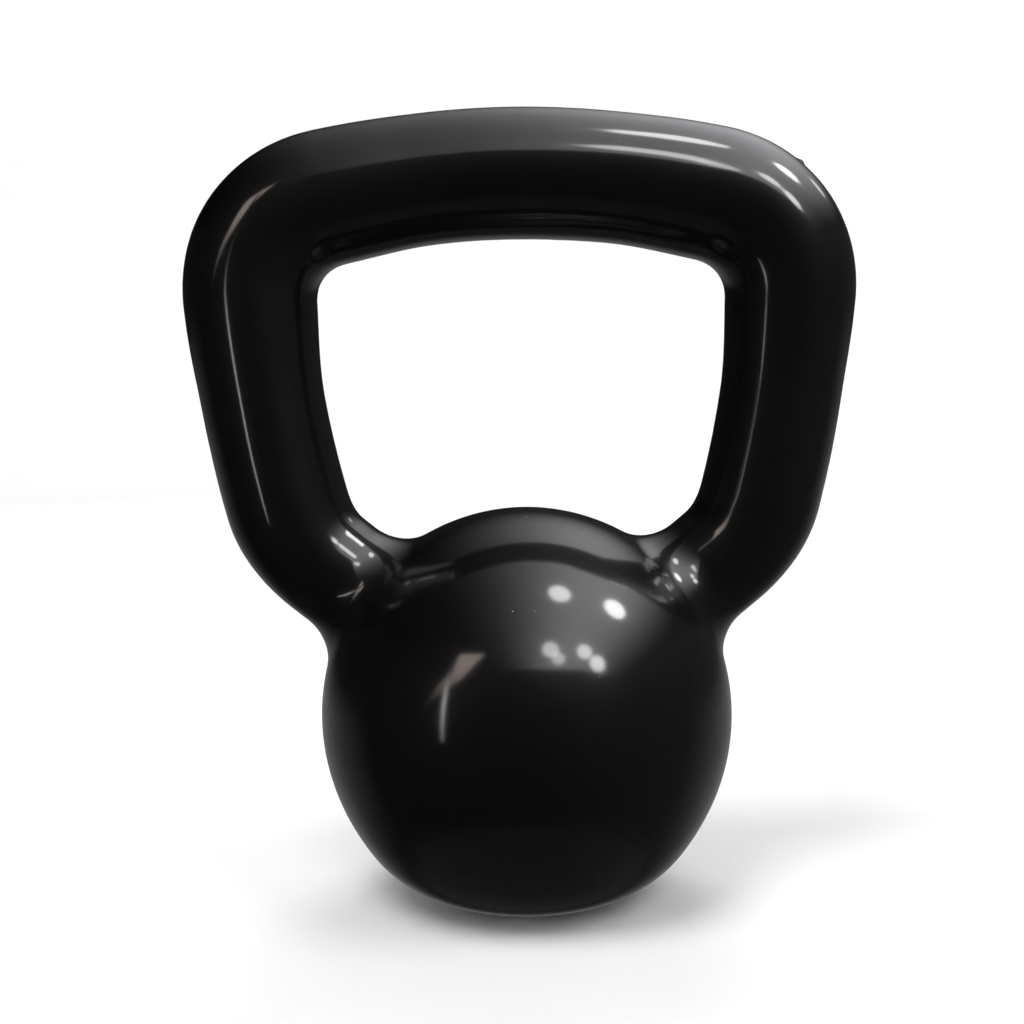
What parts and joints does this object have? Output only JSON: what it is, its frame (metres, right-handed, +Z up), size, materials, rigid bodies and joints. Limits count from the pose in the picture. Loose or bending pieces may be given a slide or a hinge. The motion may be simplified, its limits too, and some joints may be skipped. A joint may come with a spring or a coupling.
{
  "type": "kettlebell",
  "caption": "Small round kettlebell: solid iron ball and wide loop handle cast in one, under a glossy dipped vinyl skin, with a plugged hanging hole in the flat foot.",
  "frame": {"origin": "middle of the flat foot, on the floor", "axes": "+Z up through the middle of the ball and of the grip, +X along the grip, towards the drip in the skin, +Y square to the handle's plane"},
  "size_m": [0.1548, 0.096, 0.1828],
  "materials": {
    "cast_iron": "as cast, sand texture",
    "vinyl": "glossy dipped PVC, very slightly wavy",
    "plug_rubber": "matte moulded"
  },
  "bodies": {
    "root": {"iron_core": "cast_iron", "vinyl_coat": "vinyl", "hole_plug": "plug_rubber"}
  },
  "joints": []
}
